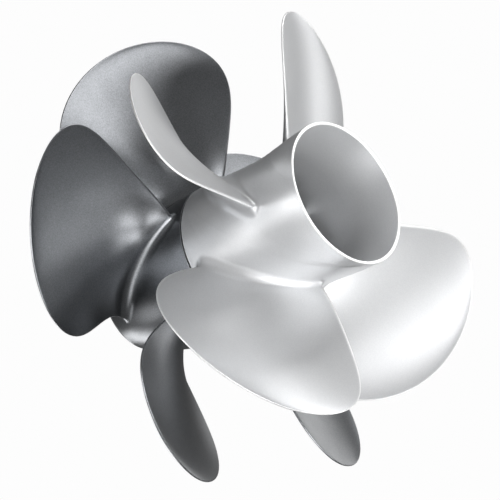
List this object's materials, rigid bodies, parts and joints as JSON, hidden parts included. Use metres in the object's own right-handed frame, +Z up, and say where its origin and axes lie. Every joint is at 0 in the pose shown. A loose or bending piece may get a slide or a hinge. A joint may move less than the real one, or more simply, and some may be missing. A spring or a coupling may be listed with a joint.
{
  "type": "ship propeller",
  "caption": "Contra-rotating ship propeller pair on one shaft line, with hollow exhaust hubs and broad swept blades, on a short flanged bearing carrier.",
  "frame": {"origin": "centre of the carrier's flat mounting face, on the shaft line", "axes": "+Y along the shaft line towards the bow, +Z up, +X to starboard"},
  "size_m": [0.5393, 0.342, 0.5383],
  "materials": {
    "front_casting": "dark satin, fine cast grain",
    "rear_casting": "pale satin, fine cast grain",
    "bearing_bronze": "turned bronze",
    "carrier_steel": "turned satin",
    "shaft_steel": "ground, fine turning lines"
  },
  "bodies": {
    "drive_stub": {"mounting_flange": "carrier_steel", "bearing_carrier": "carrier_steel", "carrier_bush": "bearing_bronze"},
    "front_propeller": {"outer_shaft": "shaft_steel", "shaft_bush": "bearing_bronze", "front_thrust_washer": "bearing_bronze", "front_hub_barrel": "front_casting", "front_hub_rib_1": "front_casting", "front_hub_rib_2": "front_casting", "front_hub_rib_3": "front_casting", "front_hub_rib_4": "front_casting", "front_hub_shell": "front_casting", "front_blade_1": "front_casting", "front_blade_2": "front_casting", "front_blade_3": "front_casting", "front_blade_4": "front_casting", "front_blade_5": "front_casting", "front_shaft_nut": "shaft_steel"},
    "rear_propeller": {"inner_shaft": "shaft_steel", "rear_thrust_washer": "bearing_bronze", "rear_hub_barrel": "rear_casting", "rear_hub_rib_1": "rear_casting", "rear_hub_rib_2": "rear_casting", "rear_hub_rib_3": "rear_casting", "rear_hub_rib_4": "rear_casting", "rear_hub_shell": "rear_casting", "rear_blade_1": "rear_casting", "rear_blade_2": "rear_casting", "rear_blade_3": "rear_casting", "rear_blade_4": "rear_casting", "rear_lock_washer": "shaft_steel", "rear_shaft_nut": "shaft_steel"}
  },
  "joints": [
    {"name": "front_spin", "type": "hinge", "parent": "drive_stub", "child": "front_propeller", "pos_m": [0, -0.096, 0], "axis": [0, 1, 0], "continuous": true},
    {"name": "rear_spin", "type": "hinge", "parent": "drive_stub", "child": "rear_propeller", "pos_m": [0, -0.2275, 0], "axis": [0, 1, 0], "continuous": true}
  ],
  "couplings": [
    {"joint": "rear_spin", "follows": "front_spin", "ratio": -1}
  ]
}
